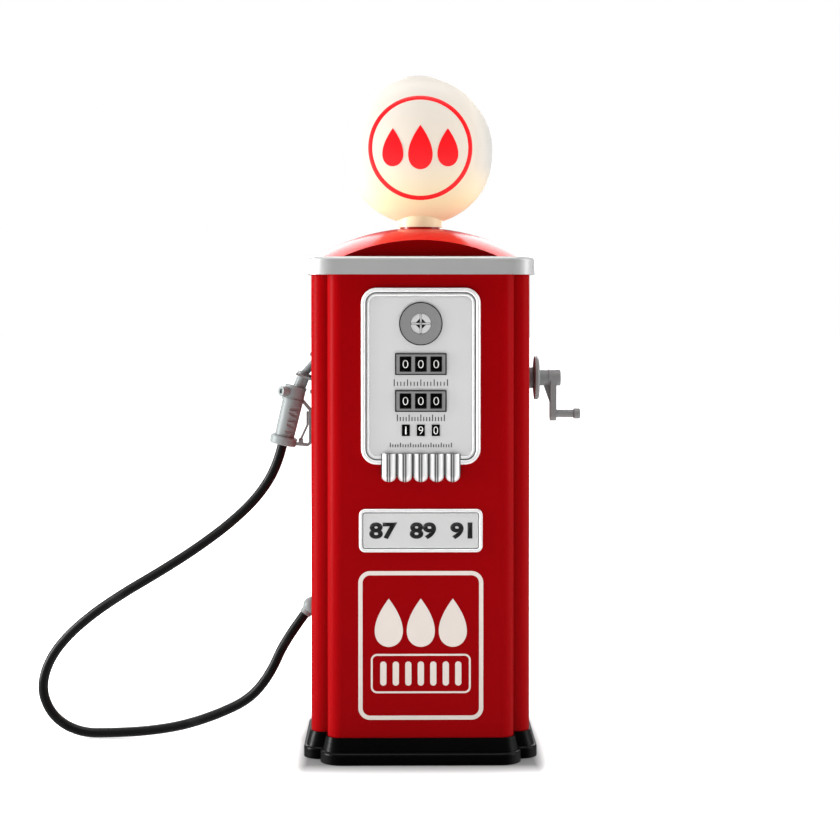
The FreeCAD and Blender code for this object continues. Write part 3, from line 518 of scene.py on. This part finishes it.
# dial bezel: a rounded rim, a groove, an inner rim and five ribs under the card
bezelBox = {"x": 0, "y": front, "z": 497 * mm, "width": high("dial_bezel").x * 2,
            "height": 226 * mm, "radius": 20 * mm, "base": 2.4 * mm,
            "steps": ((0.5, 1.4), (0.9, 1.1), (1.3, 0.5), (1.3, 0.0), (1.1, -0.6), (0.6, -1.4),
                      (0.3, -0.9), (1.1, 0.0), (0.3, 1.0), (0.8, 0.4), (1.6, 0.0), (0.5, -0.5),
                      (0.5, -1.1))}
ribs = {"count": 5, "pitch": 20.4 * mm, "halfWidth": 10.1 * mm, "rise": 9.6 * mm,
        "low": 361.2 * mm, "high": 398 * mm, "stretch": 40 * mm, "ridge": 1.8,
        "skirt": 5.6 * mm, "skirtInset": 0.6 * mm}
ribSilver = ribChrome("ribSilver", ribs["pitch"])
plate = steppedPlate(bezelBox)
bpy.ops.mesh.primitive_uv_sphere_add(segments=32, ring_count=24, radius=1)
rib = bpy.context.object
rib.scale = (ribs["halfWidth"], ribs["rise"], ribs["halfWidth"])
ribFoot = ribs["low"] + ribs["halfWidth"]
rib.location = (-(ribs["count"] - 1) / 2 * ribs["pitch"], front, ribFoot)
applyPlace(rib)
# the ball's section becomes a ridge, and its upper half is drawn up past the rib's top
for vertex in rib.data.vertices:
    lift = min(abs(vertex.co.y - front) / ribs["rise"], 1.0)
    reach = math.sqrt(1 - lift ** 2) ** ribs["ridge"]
    vertex.co.y = front + math.copysign(ribs["rise"], vertex.co.y - front) * (1 - reach) ** (
        1 / ribs["ridge"])
    if vertex.co.z > ribFoot + 0.1 * mm:
        vertex.co.z += ribs["stretch"]
bpy.ops.object.mode_set(mode="EDIT")
for spot, facing in (((0, 0, ribs["high"]), (0, 0, 1)), ((0, front, 0), (0, 1, 0))):
    bpy.ops.mesh.select_all(action="SELECT")
    bpy.ops.mesh.bisect(plane_co=spot, plane_no=facing, use_fill=True, clear_outer=True)
bpy.ops.object.mode_set(mode="OBJECT")
smooth(rib, 40)
ribPieces = [rib]
for i in range(1, ribs["count"]):
    pick(rib)
    bpy.ops.object.duplicate(linked=False)
    copy = bpy.context.object
    copy.location.x = i * ribs["pitch"]
    applyPlace(copy)
    ribPieces.append(copy)
bpy.ops.mesh.primitive_cube_add(size=1)
skirt = bpy.context.object
skirtWidth = ribs["count"] * ribs["pitch"] - ribs["skirtInset"]
skirt.scale = (skirtWidth, ribs["skirt"], ribs["high"] - ribFoot)
skirt.location = (0, front - ribs["skirt"] / 2, (ribs["high"] + ribFoot) / 2)
applyPlace(skirt)
modify(skirt, "BEVEL", width=0.5 * mm, segments=2)
pick(rib, skirt, *ribPieces[1:])
bpy.ops.object.join()
keepAs(bpy.context.object, "bezelRibs", ribSilver)
bezelPlate = keepAs(plate, "bezelPlate", bezelSilver)
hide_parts("dial_bezel")
# a dark grey ring laid in each groove is painted shade
roundedPlate("bezelGroovePaintedShade", {"x": 0, "y": front - 3.9 * mm, "z": bezelBox["z"],
                             "width": bezelBox["width"] - 10.6 * mm,
                             "height": bezelBox["height"] - 10.6 * mm, "radius": 14.7 * mm,
                             "line": 1.7 * mm, "depth": 0.1 * mm}, greyInkAndGrooveShade)
roundedPlate("gradeGroovePaintedShade", {"x": 0, "y": front - 1.6 * mm, "z": gradeBox["z"],
                             "width": gradeBox["width"] - 8.4 * mm, "height": 47.0 * mm,
                             "radius": 4.2 * mm, "line": 0.9 * mm, "depth": 0.1 * mm}, greyInkAndGrooveShade)
print("bezel and plate done")

# dial card: counters, captions as rules with ticks, and the dial
faceY = low("dial_face").y
tileFace = low("digit_tiles").y
frameFace = low("counter_frames").y
# each row is its digits, its middle's height, and a digit's pitch, width and height in mm
counter = {"rows": (("000", 512.5, 19.6, 7.2, 10.4), ("000", 465.4, 19.6, 7.2, 10.4),
                    ("190", 427.85, 19.1, 5.8, 10.0)),
           "narrow": 0.3,
           "edge": {"x": 0, "y": frameFace, "width": 65.8 * mm, "height": 27.8 * mm,
                    "radius": 0.8 * mm, "line": 1.5 * mm, "depth": 0.15 * mm},
           "hole": {"y": frameFace, "width": 15.0 * mm, "height": 19.7 * mm,
                    "radius": 0.4 * mm, "line": 0.9 * mm, "depth": 0.12 * mm}}
for row, (digits, z, pitch, width, height) in enumerate(counter["rows"]):
    for i, digit in enumerate(digits):
        narrow = counter["narrow"] if digit == "1" else 1.0
        numbers("digit" + str(row + 1) + str(i + 1),
                {"words": digit, "width": width * narrow * mm, "height": height * mm,
                 "x": (i - 1) * pitch * mm, "y": tileFace, "z": z * mm, "weight": -0.012,
                 "depth": 0.3 * mm}, digitWhite)
for row, (digits, z, pitch, width, height) in enumerate(counter["rows"][:2]):
    roundedPlate("counterEdge" + str(row + 1), {**counter["edge"], "z": z * mm}, inkBlack)
    for k in (-1, 0, 1):
        roundedPlate("counterHole" + str(row * 3 + k + 2),
                     {**counter["hole"], "x": k * pitch * mm, "z": z * mm}, inkBlack)
# each row is its height and width in mm, its number of ticks and their size; one in four is long
captions = {"rows": ((488.6, 68, 17, 1.0), (443.6, 60, 17, 1.0), (410.2, 78, 25, 0.7)),
            "long": 8.4, "short": 5.4, "tick": 1.15, "foot": 4}
for row, (z, width, count, size) in enumerate(captions["rows"]):
    pitch = width / (count - 1)
    for kind, every, tall in (("Long", 4, captions["long"]), ("Short", 1, captions["short"])):
        tick = roundedPlate("caption" + kind + str(row + 1),
                            {"x": -width / 2 * mm, "y": faceY,
                             "z": (z + tall * size / 2 - captions["foot"]) * mm,
                             "width": captions["tick"] * mm, "height": tall * size * mm,
                             "radius": 0, "depth": 0.15 * mm}, inkBlack)
        modify(tick, "ARRAY", count=(count - 1) // every + 1, use_relative_offset=False,
               use_constant_offset=True, constant_offset_displace=(pitch * every * mm, 0, 0))
dial = middle("dial_disc")
discY = low("dial_disc").y
dialPrint = {"rim": 1.2 * mm, "innerRim": 0.6 * mm, "bar": (2.8 * mm, 25 * mm),
             "barLine": 0.6 * mm, "arrow": 4.1 * mm, "arrowFlat": 0.577, "arrowOut": 4.4 * mm}


def circleLine(name, line, material):
    bpy.ops.mesh.primitive_circle_add(vertices=96, radius=line["radius"], fill_type="NGON")
    piece = bpy.context.object
    piece.rotation_euler = (math.radians(90), 0, 0)
    piece.location = (0, line["y"], line["z"])
    applyPlace(piece)
    bpy.ops.object.mode_set(mode="EDIT")
    bpy.ops.mesh.select_all(action="SELECT")
    bpy.ops.mesh.inset(thickness=line["width"])
    bpy.ops.mesh.delete(type="FACE")
    bpy.ops.object.mode_set(mode="OBJECT")
    modify(piece, "SOLIDIFY", thickness=0.15 * mm, offset=1.0)
    return keepAs(piece, name, material)


circleLine("dialRim", {"radius": high("dial_ring").x, "width": dialPrint["rim"],
                       "y": low("dial_ring").y, "z": dial.z}, inkBlack)
circleLine("dialInnerRim", {"radius": high("dial_disc").x, "width": dialPrint["innerRim"],
                            "y": discY, "z": dial.z}, greyInkAndGrooveShade)
for i, (width, height) in enumerate((dialPrint["bar"], dialPrint["bar"][::-1])):
    roundedPlate("dialCross" + str(i + 1),
                 {"x": 0, "y": discY, "z": dial.z, "width": width, "height": height,
                  "radius": 0, "line": dialPrint["barLine"], "depth": 0.12 * mm}, greyInkAndGrooveShade)
for i in range(4):
    bpy.ops.mesh.primitive_circle_add(vertices=3, radius=dialPrint["arrow"], fill_type="NGON")
    arrow = bpy.context.object
    arrow.scale = (1, dialPrint["arrowFlat"], 1)
    turn = math.radians(45 + 90 * i)
    arrow.rotation_euler = (math.radians(90), -turn - math.radians(90), 0)
    arrow.location = (dialPrint["arrowOut"] * math.cos(turn), discY,
                      dial.z + dialPrint["arrowOut"] * math.sin(turn))
    applyPlace(arrow)
    modify(arrow, "SOLIDIFY", thickness=0.2 * mm, offset=1.0)
    keepAs(arrow, "dialArrow" + str(i + 1), inkBlack)

# globe print, laid on the front lens, which is a dish with a rounded rim
globeRadius = high("globe_front").x
globeCentreZ = high("globe_front").z - globeRadius
halfDepth, rimArc = -low("globe_front").y, 45 * mm
faceRadius = (((globeRadius - rimArc) ** 2 + halfDepth ** 2 - rimArc ** 2)
              / (2 * (halfDepth - rimArc)))
globePrint = {"ringRadius": 65.7 * mm, "ringLine": 2.8 * mm, "ringFlat": 0.1,
              "dropPitch": 36 * mm, "dropWidth": 32 * mm, "dropHeight": 58 * mm,
              "sideDrop": 0.86, "dropDepth": 0.5 * mm}


def layOnGlobe(piece):
    for vertex in piece.data.vertices:
        co = vertex.co
        reach = math.hypot(co.x, co.z - globeCentreZ)
        co.y += faceRadius - halfDepth - math.sqrt(faceRadius ** 2 - reach ** 2)


bpy.ops.mesh.primitive_torus_add(major_radius=globePrint["ringRadius"],
                                 minor_radius=globePrint["ringLine"],
                                 major_segments=128, minor_segments=12)
ring = bpy.context.object
ring.rotation_euler = (math.radians(90), 0, 0)
ring.scale = (1, 1, globePrint["ringFlat"])
ring.location = (0, 0, globeCentreZ)
applyPlace(ring)
layOnGlobe(ring)
smooth(ring, 60)
keepAs(ring, "globeRing", inkRed)
for i in (-1, 0, 1):
    size = 1.0 if i == 0 else globePrint["sideDrop"]
    piece = drop("globeDrop" + str(i + 2),
                 {"x": i * globePrint["dropPitch"], "y": 0, "z": globeCentreZ,
                  "width": globePrint["dropWidth"] * size,
                  "height": globePrint["dropHeight"] * size,
                  "depth": globePrint["dropDepth"]}, inkRed)
    layOnGlobe(piece)
print("prints done")

# floor: it glows more away from the pump, so that it runs into the white room, and has a painted
# contact shadow where the foot stands on it
floorShade = {"size": 40, "below": 0.5 * mm, "underFoot": 6 * mm, "depthShare": 0.1,
              "perMetre": 40, "tones": ((0.0, 0.2), (0.35, 0.5), (0.65, 0.88), (1.0, 1.0)),
              "glowPerMetre": 0.5, "glow": ((0.1, 0.4), (0.45, 1.0))}
bpy.ops.mesh.primitive_plane_add(size=floorShade["size"], location=(0, 0, -floorShade["below"]))
floor = bpy.context.object
floor.name = "floor"
floor.visible_glossy = False
floorPaint = Paint("floorPaper", roughness=0.7, emission=1.0, shine=0.0)
distance = floorPaint.node("ShaderNodeVectorMath", {"operation": "LENGTH"},
                           {0: floorPaint.place()}, out=1)
foot = high("base_plinth")
outside = []
for axis in (0, 1):
    beyond = abs(floorPaint.along(axis)) - (foot[axis] - floorShade["underFoot"])
    outside.append(floorPaint.node("ShaderNodeMath", {"operation": "MAXIMUM"},
                                   {0: beyond, 1: 0.0}))
away = (outside[0] * outside[0] + outside[1] * outside[1] * floorShade["depthShare"]) ** 0.5
# the floor is darker close to the foot: a painted contact shadow
paintedShadow = floorPaint.greys(away * floorShade["perMetre"], *floorShade["tones"])
glow = floorPaint.greys(distance * floorShade["glowPerMetre"], *floorShade["glow"])
floorPaint.finish(colour=floorPaint.mix(paintedShadow, grey(0.0), grey(0.8)),
                  glow=floorPaint.mix(paintedShadow, grey(0.0), glow))
floor.data.materials.append(floorPaint.material)


class Room(Paint):
    def __init__(self, world):
        world.use_nodes = True
        self.nodes, self.links = world.node_tree.nodes, world.node_tree.links
        self.shader = self.nodes["Background"]


# the room is dim before the pump, white at its sides and pale behind, and plain white where
# it is seen itself
roomTones = ((0.0, 0.04), (0.2, 0.04), (0.36, 0.95), (0.6, 0.95), (0.85, 0.25))
world = bpy.data.worlds.new("studio")
bpy.context.scene.world = world
room = Room(world)
behind = room.node("ShaderNodeMapRange", {}, {"From Min": -1.0,
                                              0: room.along(1, room.place("Generated"))})
seen = room.node("ShaderNodeLightPath", out="Is Camera Ray")
strength = room.node("ShaderNodeMath", {"operation": "MAXIMUM"},
                     {0: room.greys(behind, *roomTones), 1: seen})
room.feed(room.shader.inputs["Strength"], strength)
room.feed(room.shader.inputs["Color"], grey(1.0))
bpy.context.scene.view_settings.view_transform = "Standard"


def softbox(name, light):
    lamp = bpy.data.lights.new(name, "AREA")
    lamp.shape = "RECTANGLE"
    lamp.size, lamp.size_y = light["size"]
    lamp.energy = light["power"]
    holder = bpy.data.objects.new(name, lamp)
    bpy.context.scene.collection.objects.link(holder)
    holder.location = light["place"]
    holder.rotation_euler = (Vector(light["aim"]) - Vector(light["place"])).to_track_quat(
        "-Z", "Y").to_euler()
    holder.visible_camera = False


softboxes = {
    "leftBox": {"size": (0.7, 1.5), "power": 74, "place": (-2.2, -0.2, 0.65), "aim": (0, 0, 0.4)},
    "rightBox": {"size": (0.7, 2.0), "power": 16, "place": (2.2, -0.35, 1.0), "aim": (0, 0, 0.45)},
    "topBox": {"size": (2.0, 1.4), "power": 33, "place": (0, -0.3, 2.7), "aim": (0, 0, 0.4)},
    "backLeftBox": {"size": (1.4, 1.8), "power": 37, "place": (-0.95, 2.2, 1.5),
                    "aim": (0, 0, 0.6)},
    "backRightBox": {"size": (1.4, 1.8), "power": 37, "place": (0.95, 2.2, 1.5),
                     "aim": (0, 0, 0.6)},
}
for name, light in softboxes.items():
    softbox(name, light)

view = {"lens": 75.5, "sensor": 36, "shift": -0.12, "place": (-0.024, -2.359, 0.607),
        "down": 0.95, "turn": -0.585}
camera = bpy.data.cameras.new("camera")
camera.lens = view["lens"]
camera.sensor_width = view["sensor"]
camera.shift_y = view["shift"]
viewer = bpy.data.objects.new("camera", camera)
bpy.context.scene.collection.objects.link(viewer)
viewer.location = view["place"]
viewer.rotation_euler = (math.radians(90 - view["down"]), 0, math.radians(view["turn"]))
bpy.context.scene.camera = viewer
print("floor, room, lights and camera done")
